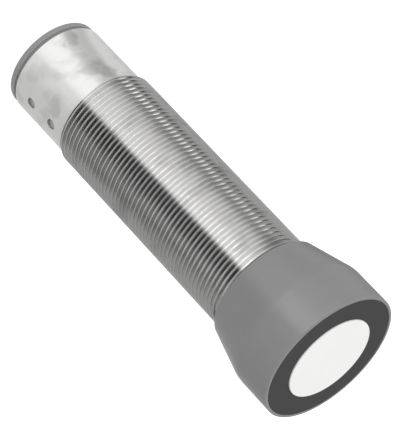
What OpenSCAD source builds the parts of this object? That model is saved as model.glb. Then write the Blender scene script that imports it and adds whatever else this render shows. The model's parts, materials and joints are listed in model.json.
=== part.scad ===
// Ultrasonic distance sensor: a threaded metal barrel with a wide plastic sensing head at one end
// and a round plug, sunk in a well of the rear cap, at the other.
// It stands on its rear cap. z = 0 is the cap's rim, +Z is the sensing direction, and the two
// indicator windows face +X. All sizes are in millimetres.

/* [Barrel] */
// Outer diameter of the barrel's thread
thread_d = 30; // [29:0.5:36]
// Pitch of the barrel's thread
thread_pitch = 1.5; // [1:0.25:2]
// Length of the thread that shows
thread_l = 69.9; // [55:0.1:95]
// Length of the plain part behind the thread
plain_l = 20.8; // [18:0.1:26]
// How far the plain part lies below the thread's crests
plain_step = 0.9; // [0.7:0.05:1.1]
// Metal left between the thread's root and the bore
barrel_wall = 1.33; // [1.1:0.01:1.5]
// Length of the smooth spigot inside the sensing head
spigot_l = 9.8; // [7:0.1:11]
// Chamfer on the barrel's ends
barrel_chamfer = 0.3; // [0.1:0.05:0.5]

/* [Indicator windows] */
// Diameter of each window
window_d = 2.9; // [2:0.1:3.4]
// Distance between the two windows
window_spacing = 9; // [8:0.1:10]
// Distance from the thread to the front window
window_offset = 4.5; // [3:0.1:5]
// How far each window's lens is sunk
window_recess = 0.5; // [0.2:0.05:0.7]

/* [Sensing head] */
// Diameter of the head at its face
head_d = 40; // [37:0.5:46]
// Length of the head
head_l = 26; // [24.5:0.1:32]
// Diameter of the head's rear edge
head_rear_d = 32.9; // [32:0.1:34]
// Length of the head's straight part
head_straight_l = 12.3; // [9:0.1:13]
// Radius that blends the cone into the straight part
head_blend_r = 15; // [5:1:20]
// Chamfer on the head's rear edge
head_rear_chamfer = 0.5; // [0.2:0.1:0.7]
// Radius on the outer edge of the face
head_face_round = 0.25; // [0.1:0.05:0.4]
// Width of the thin lip round the face
lip_w = 0.85; // [0.6:0.05:1.2]
// Depth of the lip's recess
lip_depth = 2; // [1.5:0.1:3]
// Wall of the head round the transducer
head_wall = 1.9; // [1.5:0.05:2.3]
// Thickness of the web behind the transducer
web_t = 2.2; // [1.5:0.1:2.8]
// Diameter of the hole in the web
web_hole_d = 18; // [14:0.5:20]

/* [Transducer] */
// Diameter of the pale matching disc
disc_d = 25.3; // [23:0.1:28]
// Thickness of the matching disc
disc_t = 6; // [5:0.1:6.5]
// How far the matching disc stands out of the face
disc_proud = 0.35; // [0.1:0.05:0.6]
// Diameter of the piezo disc
piezo_d = 20; // [16:0.5:22]
// Thickness of the piezo disc
piezo_t = 3; // [2.5:0.1:3.4]
// Thickness of the plate that carries the transducer
holder_t = 2; // [1.5:0.1:2.4]
// Diameter of the passage for the transducer's leads
lead_passage_d = 4.4; // [4:0.1:6]
// Diameter of each inner lead
lead_d = 0.9; // [0.7:0.05:1]

/* [Rear cap] */
// How far the cap's edge lies below the plain part of the barrel
cap_step = 0.25; // [0.1:0.05:0.5]
// Height of the part of the cap that shows
cap_edge_h = 2.6; // [2:0.1:4]
// Rounding of the cap's outer edge
cap_round = 0.4; // [0.2:0.05:0.6]
// Depth of the shadow groove between cap and barrel
cap_groove = 0.35; // [0.2:0.05:0.5]
// Wall of the cap between its well and its sealing ring
cap_wall = 1.03; // [0.9:0.01:1.2]
// Depth of the well
well_depth = 9.5; // [9:0.1:10.5]
// Thickness of the well's floor
cap_floor = 2.5; // [2.2:0.1:2.8]

/* [Plug] */
// Outer diameter of the plug's thread
plug_d = 12; // [11.5:0.1:12.4]
// Pitch of the plug's thread
plug_pitch = 1; // [0.75:0.25:1]
// Length of the plug's thread
plug_thread_l = 7; // [6:0.5:7.5]
// How far the neck in the cap's floor stands out from the thread
plug_neck_w = 0.4; // [0.3:0.05:0.6]
// How far the plug lies below the cap's rim
plug_recess = 0.5; // [0.3:0.1:0.8]
// Diameter of the plug's socket
plug_bore_d = 8.9; // [8.5:0.1:9.2]
// Depth of the plug's socket
socket_depth = 7.5; // [6.5:0.1:8]
// Height of the flange inside the cap
plug_flange_h = 1.2; // [1:0.1:1.5]
// Diameter of each contact pin
pin_d = 1; // [0.8:0.05:1.1]
// Radius of the circle that the outer pins stand on
pin_circle_r = 2.7; // [2.5:0.05:2.8]
// How far the pins lie below the plug's edge
pin_recess = 1.5; // [1:0.1:2.5]

/* [Circuit board] */
// Thickness of the board
board_t = 1.2; // [1:0.1:1.6]
// Free length between the contact pins and the board
board_clear = 6; // [5.5:0.1:6.5]
// Thickness of each end disc of the sled
sled_disc_t = 2.5; // [2:0.1:3]
// Wall of the sled outside the board's edge
sled_wall = 0.9; // [0.7:0.05:1.2]
// Width across each rail of the sled
rail_w = 4.4; // [3.6:0.1:5]
// Depth of each rail
rail_depth = 2.2; // [1.8:0.1:2.4]
// Wall of the insulating sleeve
sleeve_t = 0.25; // [0.2:0.05:0.3]
// Length of a capacitor's can
capacitor_h = 7; // [5:0.5:7.5]
// Diameter of a capacitor's can
capacitor_d = 6.3; // [5:0.1:6.5]

/* [Seals] */
// Thickness of the two large sealing rings
seal_d = 1.2; // [1:0.05:1.3]
// Thickness of the sealing ring on the plug
plug_seal_d = 1; // [0.8:0.05:1]

/* [Fits] */
// Radial gap of a part that is pushed into another
fit_gap = 0.05; // [0.03:0.01:0.08]
// Radial gap of a part that is set with no play
close_gap = 0.02; // [0.01:0.005:0.03]

/* [Hidden] */

$fn = 96;
eps = 0.01;

// Proportions of a metric thread with 60 degree flanks
thread_half_angle = 30;
thread_depth_ratio = 0.6134;
crest_flat_ratio = 1 / 8;

// Radii of the barrel
thread_r = thread_d / 2;
thread_depth = thread_depth_ratio * thread_pitch;
root_r = thread_r - thread_depth;
plain_r = thread_r - plain_step;
bore_r = root_r - barrel_wall;

// Heights along the axis, from the rim of the cap upwards
barrel_z = cap_edge_h;
thread_z = barrel_z + plain_l;
head_z = thread_z + thread_l;
face_z = head_z + head_l;
barrel_top_z = head_z + spigot_l;
web_z = barrel_top_z + 2 * fit_gap;
pocket_z = web_z + web_t;

// Indicator windows
window_r = window_d / 2;
front_window_z = thread_z - window_offset;
rear_window_z = front_window_z - window_spacing;
lens_r = window_r - close_gap;

// Sensing head
head_r = head_d / 2;
head_rear_r = head_rear_d / 2;
socket_r = root_r + fit_gap;
lip_r = head_r - lip_w;
pocket_r = head_r - head_wall;
corner_z = face_z - head_straight_l;
cone_z = head_z + head_rear_chamfer;
cone_angle = atan2(head_r - head_rear_r, corner_z - cone_z);
blend_reach = head_blend_r * tan(cone_angle / 2);
blend_steps = 6;
head_seal_share = 0.6;
head_seal_z = head_z + head_seal_share * spigot_l;
seal_side_room = 0.2;
seal_groove_w = seal_d + 2 * seal_side_room;

// Transducer
disc_r = disc_d / 2;
disc_top_z = face_z + disc_proud;
disc_z = disc_top_z - disc_t;
piezo_r = piezo_d / 2;
piezo_z = disc_z - piezo_t;
holder_top_z = pocket_z + holder_t;
lead_r = lead_d / 2;
lead_pair_y = lead_passage_d / 4;

// Rear cap
cap_r = plain_r - cap_step;
cap_spigot_r = bore_r - fit_gap;
plug_r = plug_d / 2;
cap_top_z = well_depth + cap_floor;
cap_seal_up = 2;
cap_seal_z = cap_edge_h + cap_seal_up;
cap_seal_r = bore_r - seal_d / 2;
seal_seat_r = cap_seal_r - seal_d / 2 - close_gap;
well_r = seal_seat_r - cap_wall;

// Indicator strip, between the wall of the well and the lenses
strip_t = 0.3;
strip_w = 4.4;
led_h = 0.7;
led_l = 2;
led_w = 1.25;
lens_in = 0.2;
lens_x = bore_r - lens_in;
led_x = lens_x - fit_gap - led_h;
strip_x = led_x - strip_t;
strip_end = 2.3;
strip_z = rear_window_z - strip_end;

// Plug
plug_bore_r = plug_bore_d / 2;
plug_depth = thread_depth_ratio * plug_pitch;
plug_top_z = cap_top_z + plug_flange_h;
insert_z = plug_recess + socket_depth;
insert_r = plug_bore_r - close_gap;
insert_flange_h = 1;
insert_flange_w = 1.3;
insert_flange_r = plug_bore_r + insert_flange_w;
plug_neck_r = plug_r + plug_neck_w;
plug_flange_w = 1.2;
plug_flange_r = plug_neck_r + plug_flange_w;
pin_r = pin_d / 2;
pin_z = plug_recess + pin_recess;
pin_tail = 1.8;
pin_top_z = plug_top_z + insert_flange_h + pin_tail;
pin_places = concat([for (a = [45:90:315]) pin_circle_r * [cos(a), sin(a)]], [[0, 0]]);
key_w = 1.4;
key_h = 0.8;
plug_seal_z = well_depth + cap_floor / 2;
plug_seal_r = plug_neck_r + close_gap - plug_seal_d / 2;
plug_groove_w = plug_seal_d + seal_side_room;

// Circuit board, sled and sleeve
sleeve_r = bore_r - fit_gap;
sleeve_in_r = sleeve_r - sleeve_t;
sled_r = sleeve_in_r - fit_gap;
board_z = pin_top_z + board_clear;
board_half_w = sled_r - sled_wall;
board_x = board_t / 2;
tail_up = 1;
tail_z = board_z + tail_up;
solder_l = 3;
lead_end_z = board_z + solder_l;
sled_clear = 1;
sled_z = lead_end_z + sled_clear;
sleeve_z = sled_z - 2 * sled_clear;
sled_top_clear = 5;
sled_top_z = barrel_top_z - sled_top_clear;
sled_disc_z = sled_top_z - sled_disc_t;
board_top_z = sled_top_z - sled_disc_t / 2;
disc_rim_y = 4.2;
disc_rim_x = 5.4;
opening_half_y = sled_r - disc_rim_y;
opening_half_x = sled_r - disc_rim_x;
rail_y = sled_r - rail_depth;
parts_z = sled_z + sled_disc_t;
parts_l = sled_disc_z - parts_z;

// Places of the parts on the board, as heights above the sled's rear disc
regulator_z = parts_z + 0.11 * parts_l;
choke_z = parts_z + 0.25 * parts_l;
capacitor_zs = [parts_z + 0.39 * parts_l, parts_z + 0.51 * parts_l];
diode_z = parts_z + 0.62 * parts_l;
transformer_z = parts_z + 0.82 * parts_l;
transistor_zs = [parts_z + 0.08 * parts_l, parts_z + 0.21 * parts_l];
controller_z = parts_z + 0.41 * parts_l;
crystal_z = parts_z + 0.56 * parts_l;
amplifier_z = parts_z + 0.74 * parts_l;

// Sizes of the parts on the board: how far they stand out, then across and along it
controller_size = [1.4, 7, 7];
controller_leg_pitch = 0.8;
amplifier_size = [1.5, 3.9, 8.6];
amplifier_leg_pitch = 1.27;
regulator_size = [2.3, 6.5, 5.4];
regulator_tab_w = 5.2;
regulator_leg_y = 2.28;
transistor_size = [1.6, 6.5, 3.5];
transistor_tab_w = 3;
transistor_leg_y = 2.3;
diode_size = [2.2, 2.6, 4.3];
diode_spacing = 4;
choke_size = [3.8, 7, 7];
choke_coil_r = 3;
choke_gap_w = 0.6;
choke_gap_depth = 0.5;
crystal_size = [3.6, 11.2, 4.7];
chip_size = [0.6, 1.25, 2];
chip_edge = 3;
chip_columns_y = board_half_w - chip_edge;
chips_per_column = 8;
plug_lead_spacing = 2;

// Transformer
core_w = 11;
core_l = 6;
core_yoke = 1.5;
core_window_h = 4;
core_window_w = 2.2;
core_leg_w = 3;
core_h = core_window_h + 2 * core_yoke;
core_split = 0.05;
former_h = 1;
coil_overhang = 2;

// Temperature probe
probe_y = 6;
probe_leg_r = 0.25;
probe_leg_spacing = 1.2;
probe_foot = 3;
probe_bead_r = 1.1;
probe_bead_l = 2.6;

// Smooth step from 0 to 1
function ease(t) = t * t * (3 - 2 * t);
function blend(a, b, t) = a + (b - a) * t;
function unit(v) = v / norm(v);

// A lead's route: straight up from one place, across in a smooth S, and straight up at the other
function lead_route(from, to, z0, z1, z2, z3, steps = 8) = concat(
    [[from[0], from[1], z0]],
    [for (i = [0:steps]) let (t = i / steps, e = ease(t))
        [blend(from[0], to[0], e), blend(from[1], to[1], e), blend(z1, z2, t)]],
    [[to[0], to[1], z3]]
);

// Direction of a route at one of its points
function heading(route, i) =
    i == 0 ? unit(route[1] - route[0]) :
    i == len(route) - 1 ? unit(route[i] - route[i - 1]) :
    unit(unit(route[i + 1] - route[i]) + unit(route[i] - route[i - 1]));

// A round wire along a route, as a ring of corners at every point
module wire(route, r, sides = 8) {
    rings = len(route);
    corners = [for (i = [0:rings - 1])
        let (h = heading(route, i), u = unit(cross([0, 1, 0], h)), v = cross(h, u))
        for (k = [0:sides - 1]) let (a = 360 * k / sides) route[i] + r * (cos(a) * u + sin(a) * v)];
    walls = [for (i = [0:rings - 2], k = [0:sides - 1]) let (n = (k + 1) % sides)
        [i * sides + k, (i + 1) * sides + k, (i + 1) * sides + n, i * sides + n]];
    ends = [[for (k = [0:sides - 1]) k], [for (k = [sides - 1:-1:0]) (rings - 1) * sides + k]];
    polyhedron(corners, concat(walls, ends), convexity = 4);
}

// Outline of ring grooves along a thread, from z0 upwards, crest radius r
function groove_points(z0, length, r, pitch) = let (
    turns = floor(length / pitch + eps),
    start = z0 + (length - turns * pitch) / 2,
    depth = thread_depth_ratio * pitch,
    half_crest = crest_flat_ratio * pitch / 2,
    run = depth * tan(thread_half_angle)
) [for (i = [0:turns - 1]) let (z = start + i * pitch)
    each [
        [r, z + half_crest], [r - depth, z + half_crest + run],
        [r - depth, z + pitch - half_crest - run], [r, z + pitch - half_crest]
    ]];

// A sealing ring
module o_ring(z, centre_r, ring_r) {
    translate([0, 0, z]) rotate_extrude() translate([centre_r, 0]) circle(r = ring_r, $fn = 32);
}

// A tube from z0 to z1
module tube(z0, z1, outer_r, inner_r) {
    translate([0, 0, z0]) difference() {
        cylinder(h = z1 - z0, r = outer_r);
        translate([0, 0, -1]) cylinder(h = z1 - z0 + 2, r = inner_r);
    }
}

// A block centred on y and z, standing out along x from x0
module block(x0, size, y = 0, z = 0) {
    translate([x0, y - size[1] / 2, z - size[2] / 2]) cube(size);
}

// The same on the board's rear face
module rear_block(size, y = 0, z = 0) {
    block(-board_x - size[0], size, y, z);
}

module barrel() {
    crest_z = thread_z + thread_r - plain_r;
    color([0.76, 0.75, 0.73]) difference() {
        rotate_extrude() polygon(concat(
            [
                [bore_r, barrel_z], [plain_r - barrel_chamfer, barrel_z],
                [plain_r, barrel_z + barrel_chamfer], [plain_r, thread_z], [thread_r, crest_z]
            ],
            groove_points(crest_z, head_z - crest_z, thread_r, thread_pitch),
            [
                [thread_r, head_z], [root_r, head_z], [root_r, barrel_top_z - barrel_chamfer],
                [root_r - barrel_chamfer, barrel_top_z], [bore_r, barrel_top_z]
            ]
        ));
        for (z = [rear_window_z, front_window_z])
            translate([0, 0, z]) rotate([0, 90, 0]) cylinder(h = thread_r + 1, r = window_r);
    }
}

module sensor_head() {
    // Arc that blends the cone into the straight part, from the cone upwards
    arc_z = corner_z + blend_reach;
    arc_x = head_r - head_blend_r;
    blend_arc = [for (i = [0:blend_steps]) let (a = cone_angle * (1 - i / blend_steps))
        [arc_x + head_blend_r * cos(a), arc_z - head_blend_r * sin(a)]];
    face_arc = [for (a = [0:30:90])
        [head_r - head_face_round * (1 - cos(a)), face_z - head_face_round * (1 - sin(a))]];
    color([0.53, 0.53, 0.53]) rotate_extrude() polygon(concat(
        [
            [socket_r, head_z], [head_rear_r - head_rear_chamfer, head_z], [head_rear_r, cone_z]
        ],
        blend_arc,
        face_arc,
        [
            [lip_r, face_z], [lip_r, face_z - lip_depth], [pocket_r, face_z - lip_depth],
            [pocket_r, pocket_z], [web_hole_d / 2, pocket_z], [web_hole_d / 2, web_z], [socket_r, web_z],
            [socket_r, head_seal_z + seal_groove_w / 2],
            [root_r + seal_d + close_gap, head_seal_z + seal_groove_w / 2],
            [root_r + seal_d + close_gap, head_seal_z - seal_groove_w / 2],
            [socket_r, head_seal_z - seal_groove_w / 2]
        ]
    ));
}

module head_seal() {
    color([0.12, 0.12, 0.12]) o_ring(head_seal_z, root_r + seal_d / 2, seal_d / 2);
}

module decoupling_ring() {
    color([0.28, 0.28, 0.28]) rotate_extrude() polygon([
        [disc_r + close_gap, holder_top_z], [pocket_r - close_gap, holder_top_z],
        [pocket_r - close_gap, face_z - lip_depth], [lip_r - close_gap, face_z - lip_depth],
        [lip_r - close_gap, face_z], [disc_r + close_gap, face_z]
    ]);
}

module matching_disc() {
    edge = disc_proud / 2;
    color([0.93, 0.93, 0.91]) rotate_extrude() polygon([
        [0, disc_z], [disc_r, disc_z], [disc_r, disc_top_z - edge],
        [disc_r - edge, disc_top_z], [0, disc_top_z]
    ]);
}

module piezo_disc() {
    color([0.72, 0.66, 0.52]) translate([0, 0, piezo_z]) cylinder(h = piezo_t, r = piezo_r);
}

// Soft pad behind and round the piezo disc
module backing_pad() {
    color([0.3, 0.3, 0.32]) rotate_extrude() polygon([
        [lead_passage_d / 2, holder_top_z], [disc_r - close_gap, holder_top_z], [disc_r - close_gap, disc_z],
        [piezo_r + close_gap, disc_z], [piezo_r + close_gap, piezo_z], [lead_passage_d / 2, piezo_z]
    ]);
}

module transducer_holder() {
    color([0.2, 0.2, 0.2]) tube(pocket_z, holder_top_z, pocket_r - fit_gap, lead_passage_d / 2);
}

// One lead from the piezo disc to the front of the board
module transducer_lead(side) {
    board_y = 3;
    straight = 3;
    wire(lead_route(
        [0, side * lead_pair_y], [board_x + lead_r + close_gap, side * board_y],
        piezo_z, piezo_z - straight, board_top_z + tail_up, board_top_z - solder_l
    ), lead_r);
}

module transducer_lead_red() {
    color([0.75, 0.08, 0.06]) transducer_lead(-1);
}

module transducer_lead_black() {
    color([0.05, 0.05, 0.05]) transducer_lead(1);
}

// A glass bead on two legs that are soldered to the board
module temperature_probe() {
    leg_x = board_x + probe_leg_r + close_gap;
    leg_z = board_top_z - probe_foot;
    bead_z = web_z - probe_bead_l / 2;
    color([0.3, 0.25, 0.2]) union() {
        for (side = [-0.5, 0.5])
            translate([leg_x, probe_y + side * probe_leg_spacing, leg_z])
                cylinder(h = bead_z - leg_z, r = probe_leg_r, $fn = 24);
        translate([leg_x, probe_y, bead_z - probe_leg_r])
            cylinder(h = probe_bead_l, r = probe_bead_r, $fn = 32);
    }
}

module insulating_sleeve() {
    color([0.7, 0.55, 0.2]) tube(sleeve_z, sled_top_z, sleeve_r, sleeve_in_r);
}

// Two end discs joined by rails that hold the board by its edges
module board_sled() {
    slot_y = board_half_w + close_gap;
    slot_x = board_x + close_gap;
    color([0.15, 0.15, 0.16]) difference() {
        translate([0, 0, sled_z]) cylinder(h = sled_top_z - sled_z, r = sled_r);
        for (side = [-1, 1])
            translate([side > 0 ? rail_w / 2 : -sled_r - 1, -sled_r - 1, sled_z + sled_disc_t])
                cube([sled_r + 1 - rail_w / 2, 2 * sled_r + 2, sled_disc_z - sled_z - sled_disc_t]);
        translate([-sled_r, -rail_y, sled_z + sled_disc_t])
            cube([2 * sled_r, 2 * rail_y, sled_disc_z - sled_z - sled_disc_t]);
        translate([-opening_half_x, -opening_half_y, sled_z - 1])
            cube([2 * opening_half_x, 2 * opening_half_y, sled_top_z - sled_z + 2]);
        translate([-slot_x, -slot_y, sled_z - 1]) cube([2 * slot_x, 2 * slot_y, sled_top_z - sled_z + 2]);
    }
}

module main_board() {
    color([0.05, 0.3, 0.14]) translate([-board_x, -board_half_w, board_z])
        cube([board_t, 2 * board_half_w, board_top_z - board_z]);
}

// A flat package with a row of legs on two or on four sides, on one side of the board
module leaded_chip(side, size, z, legs, pitch, four_sided = false) {
    leg = 0.35;
    reach = 1;
    foot = 0.2;
    stand = 0.1;
    dot_r = 0.35;
    dot_depth = 0.1;
    dot_inset = 1;
    mirror([side > 0 ? 0 : 1, 0, 0]) translate([board_x, 0, z]) {
        difference() {
            translate([stand, -size[1] / 2, -size[2] / 2]) cube(size);
            translate([stand + size[0] - dot_depth, size[1] / 2 - dot_inset, dot_inset - size[2] / 2])
                rotate([0, 90, 0]) cylinder(h = 1, r = dot_r, $fn = 24);
        }
        for (turn = four_sided ? [0, 90, 180, 270] : [0, 180], i = [0:legs - 1])
            rotate([turn, 0, 0]) translate([0, size[1] / 2 - foot, (i - (legs - 1) / 2) * pitch - leg / 2]) {
                cube([foot, reach + foot, leg]);
                cube([size[0] / 2 + stand, 2 * foot, leg]);
            }
    }
}

module microcontroller() {
    color([0.09, 0.09, 0.1]) leaded_chip(-1, controller_size, controller_z, 8, controller_leg_pitch, true);
}

module amplifier_chip() {
    color([0.1, 0.1, 0.11]) leaded_chip(-1, amplifier_size, amplifier_z, 7, amplifier_leg_pitch);
}

// A power package: a moulded block with a broad tab above and two legs below
module power_package(side, size, z, tab_w, leg_gap) {
    tab_t = 0.5;
    tab_reach = 1.4;
    leg_w = 0.75;
    leg_reach = 1.6;
    mirror([side > 0 ? 0 : 1, 0, 0]) translate([board_x, 0, z]) {
        translate([0, -size[1] / 2, -size[2] / 2]) cube(size);
        translate([0, -tab_w / 2, size[2] / 2 - eps]) cube([tab_t, tab_w, tab_reach]);
        for (y = [-leg_gap, leg_gap])
            translate([0, y - leg_w / 2, -size[2] / 2 - leg_reach]) cube([tab_t, leg_w, leg_reach + eps]);
    }
}

module voltage_regulator() {
    color([0.12, 0.12, 0.12])
        power_package(1, regulator_size, regulator_z, regulator_tab_w, regulator_leg_y);
}

module output_transistors() {
    color([0.13, 0.13, 0.13]) for (z = transistor_zs)
        power_package(-1, transistor_size, z, transistor_tab_w, transistor_leg_y);
}

module protection_diodes() {
    color([0.16, 0.16, 0.16]) for (i = [-1:1]) block(board_x, diode_size, i * diode_spacing, diode_z);
}

// Aluminium cans on square bases
module storage_capacitors() {
    base = capacitor_d + 0.3;
    base_h = 1;
    neck_z = 1.4;
    neck = 0.25;
    r = capacitor_d / 2;
    color([0.72, 0.73, 0.75]) for (z = capacitor_zs) {
        block(board_x, [base_h, base, base], 0, z);
        translate([board_x + base_h - eps, 0, z]) rotate([0, 90, 0]) rotate_extrude() polygon([
            [0, 0], [r, 0], [r, neck_z - neck], [r - neck, neck_z], [r, neck_z + neck],
            [r, capacitor_h - base_h - neck], [r - neck, capacitor_h - base_h], [0, capacitor_h - base_h]
        ]);
    }
}

// A flat metal can with round ends
module crystal() {
    end_y = (crystal_size[1] - crystal_size[2]) / 2;
    color([0.78, 0.78, 0.76]) translate([-board_x, 0, crystal_z]) rotate([0, -90, 0]) {
        linear_extrude(crystal_size[0]) union() {
            square([crystal_size[2], 2 * end_y], center = true);
            for (y = [-end_y, end_y]) translate([0, y]) circle(d = crystal_size[2]);
        }
    }
}

// A shielded coil with a round core in a square frame
module choke() {
    color([0.24, 0.24, 0.25]) difference() {
        block(board_x, choke_size, 0, choke_z);
        translate([board_x + choke_size[0] - choke_gap_depth, 0, choke_z]) rotate([0, 90, 0])
            tube(0, 1, choke_coil_r, choke_coil_r - choke_gap_w);
    }
}

// Two E-shaped ferrite halves that meet at the middle of their legs
module transformer_core() {
    foot_x = board_x + former_h;
    color([0.2, 0.2, 0.22]) difference() {
        block(foot_x, [core_h, core_w, core_l], 0, transformer_z);
        for (side = [-1, 1])
            block(
                foot_x + core_yoke, [core_window_h, core_window_w, core_l + 2],
                side * (core_leg_w + core_window_w) / 2, transformer_z
            );
        block(foot_x + (core_h - core_split) / 2, [core_split, core_w + 2, core_l + 2], 0, transformer_z);
    }
}

// The winding round the middle leg
module transformer_coil() {
    inner_y = core_leg_w + 4 * close_gap;
    inner_z = core_l + 4 * close_gap;
    outer_y = core_leg_w + 2 * core_window_w - 4 * close_gap;
    outer_z = core_l + 2 * coil_overhang;
    color([0.72, 0.4, 0.2])
        translate([board_x + former_h + core_yoke + close_gap, 0, transformer_z]) difference() {
            block(0, [core_window_h - 2 * close_gap, outer_y, outer_z]);
            block(-1, [core_window_h + 2, inner_y, inner_z]);
        }
}

// The base plate that carries core and coil, with its solder feet
module transformer_former() {
    plate_l = core_l + 2 * coil_overhang;
    foot = 0.6;
    foot_reach = 1;
    pins = 4;
    color([0.1, 0.1, 0.1]) union() {
        block(board_x, [former_h, core_w, plate_l], 0, transformer_z);
        for (side = [-1, 1], i = [0:pins - 1])
            block(
                board_x, [foot, foot, foot_reach + eps], (i - (pins - 1) / 2) * 2.5,
                transformer_z + side * (plate_l + foot_reach) / 2
            );
        for (side = [-1, 1])
            block(
                board_x + former_h - eps,
                [core_yoke + close_gap + eps, core_leg_w, coil_overhang - 2 * close_gap],
                0, transformer_z + side * (core_l / 2 + close_gap + coil_overhang / 2)
            );
    }
}

// Small resistors and capacitors in columns along the board's edges, on both faces
module chip_components() {
    spacing = parts_l / chips_per_column;
    color([0.55, 0.5, 0.42]) for (side = [-1, 1], i = [0:chips_per_column - 1]) {
        z = parts_z + (i + 0.5) * spacing;
        block(board_x, chip_size, side * chip_columns_y, z);
        rear_block(chip_size, side * chip_columns_y, z);
    }
}

// A thin strip that carries the indicator lights along the wall and is soldered to the board
module indicator_strip() {
    color([0.75, 0.5, 0.15]) union() {
        intersection() {
            tube(strip_z, tail_z + strip_t, strip_x + strip_t, strip_x);
            translate([0, -strip_w / 2, 0]) cube([bore_r, strip_w, face_z]);
        }
        translate([board_x, -strip_w / 2, tail_z]) cube([strip_x - board_x + strip_t / 2, strip_w, strip_t]);
    }
}

// One light, on the strip behind its window
module indicator_light(z) {
    block(led_x, [led_h, led_w, led_l], 0, z);
}

module yellow_led() {
    color([0.9, 0.75, 0.2]) indicator_light(front_window_z);
}

module green_led() {
    color([0.35, 0.7, 0.3]) indicator_light(rear_window_z);
}

module indicator_lenses() {
    color([0.32, 0.32, 0.32]) for (z = [rear_window_z, front_window_z])
        translate([lens_x, 0, z]) rotate([0, 90, 0])
            cylinder(h = plain_r - window_recess - lens_x, r = lens_r);
}

module rear_cap() {
    rim_arc = [for (a = [0:22.5:90])
        [cap_r - cap_round * (1 - sin(a)), cap_round * (1 - cos(a))]];
    edge = 0.3;
    color([0.4, 0.4, 0.4]) difference() {
        rotate_extrude() polygon(concat(
            [[well_r, edge], [well_r + edge, 0]],
            rim_arc,
            [
                [cap_r, cap_edge_h - cap_groove], [cap_r - cap_groove, cap_edge_h - cap_groove],
                [cap_r - cap_groove, cap_edge_h], [cap_spigot_r, cap_edge_h],
                [cap_spigot_r, cap_seal_z - seal_groove_w / 2],
                [seal_seat_r, cap_seal_z - seal_groove_w / 2], [seal_seat_r, cap_seal_z + seal_groove_w / 2],
                [cap_spigot_r, cap_seal_z + seal_groove_w / 2],
                [cap_spigot_r, cap_top_z - edge], [cap_spigot_r - edge, cap_top_z],
                [plug_neck_r + close_gap, cap_top_z], [plug_neck_r + close_gap, well_depth],
                [well_r, well_depth]
            ]
        ));
        // Notch for the indicator strip and its lights
        intersection() {
            tube(strip_z - close_gap, cap_top_z + 1, bore_r + 1, strip_x - close_gap);
            translate([0, -strip_w / 2 - close_gap, 0]) cube([bore_r + 1, strip_w + 2 * close_gap, face_z]);
        }
    }
}

module cap_seal() {
    color([0.12, 0.12, 0.12]) o_ring(cap_seal_z, cap_seal_r, seal_d / 2);
}

module plug_shell() {
    lead_in = 0.4;
    root = plug_r - plug_depth;
    groove_r = plug_seal_r - plug_seal_d / 2;
    thread_end_z = plug_recess + plug_thread_l;
    color([0.76, 0.75, 0.73]) rotate_extrude() polygon(concat(
        [
            [plug_bore_r, plug_recess + lead_in / 2], [plug_bore_r + lead_in / 2, plug_recess],
            [root, plug_recess], [plug_r, plug_recess + plug_depth]
        ],
        groove_points(plug_recess + plug_depth, plug_thread_l - plug_depth, plug_r, plug_pitch),
        [
            [plug_r, thread_end_z], [root, thread_end_z], [root, well_depth], [plug_neck_r, well_depth],
            [plug_neck_r, plug_seal_z - plug_groove_w / 2], [groove_r, plug_seal_z - plug_groove_w / 2],
            [groove_r, plug_seal_z + plug_groove_w / 2], [plug_neck_r, plug_seal_z + plug_groove_w / 2],
            [plug_neck_r, cap_top_z], [plug_flange_r, cap_top_z],
            [plug_flange_r, plug_top_z], [plug_bore_r, plug_top_z]
        ]
    ));
}

module plug_seal() {
    color([0.12, 0.12, 0.12]) o_ring(plug_seal_z, plug_seal_r, plug_seal_d / 2);
}

// The moulded insert that holds the contact pins, with its coding key
module plug_insert() {
    color([0.1, 0.1, 0.1]) difference() {
        union() {
            translate([0, 0, insert_z]) cylinder(h = plug_top_z - insert_z + insert_flange_h, r = insert_r);
            translate([0, 0, plug_top_z]) cylinder(h = insert_flange_h, r = insert_flange_r);
            intersection() {
                translate([0, 0, pin_z]) cylinder(h = insert_z - pin_z + eps, r = insert_r);
                translate([insert_r - key_h, -key_w / 2, pin_z])
                    cube([key_h + 1, key_w, insert_z - pin_z + eps]);
            }
        }
        for (p = pin_places)
            translate([p[0], p[1], insert_z - 1])
                cylinder(h = plug_top_z - insert_z + insert_flange_h + 2, r = pin_r + close_gap, $fn = 32);
    }
}

module plug_pins() {
    outline = concat(
        [for (a = [0:22.5:90]) [pin_r * sin(a), pin_z + pin_r * (1 - cos(a))]],
        [[pin_r, pin_top_z], [0, pin_top_z]]
    );
    color([0.85, 0.68, 0.3]) for (p = pin_places)
        translate([p[0], p[1], 0]) rotate_extrude($fn = 32) polygon(outline);
}

// One lead from a contact pin to the rear face of the board
module plug_lead(place, board_y) {
    straight = 0.4;
    wire(lead_route(
        pin_places[place], [-board_x - lead_r - close_gap, board_y],
        pin_top_z, pin_top_z + straight, board_z - straight, lead_end_z
    ), lead_r);
}

module plug_lead_brown() {
    color([0.3, 0.16, 0.08]) plug_lead(0, 2 * plug_lead_spacing);
}

module plug_lead_white() {
    color([0.9, 0.9, 0.88]) plug_lead(1, plug_lead_spacing);
}

module plug_lead_blue() {
    color([0.1, 0.2, 0.6]) plug_lead(2, -plug_lead_spacing);
}

module plug_lead_black() {
    color([0.05, 0.05, 0.05]) plug_lead(3, -2 * plug_lead_spacing);
}

module plug_lead_grey() {
    color([0.5, 0.5, 0.5]) plug_lead(4, 0);
}

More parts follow.
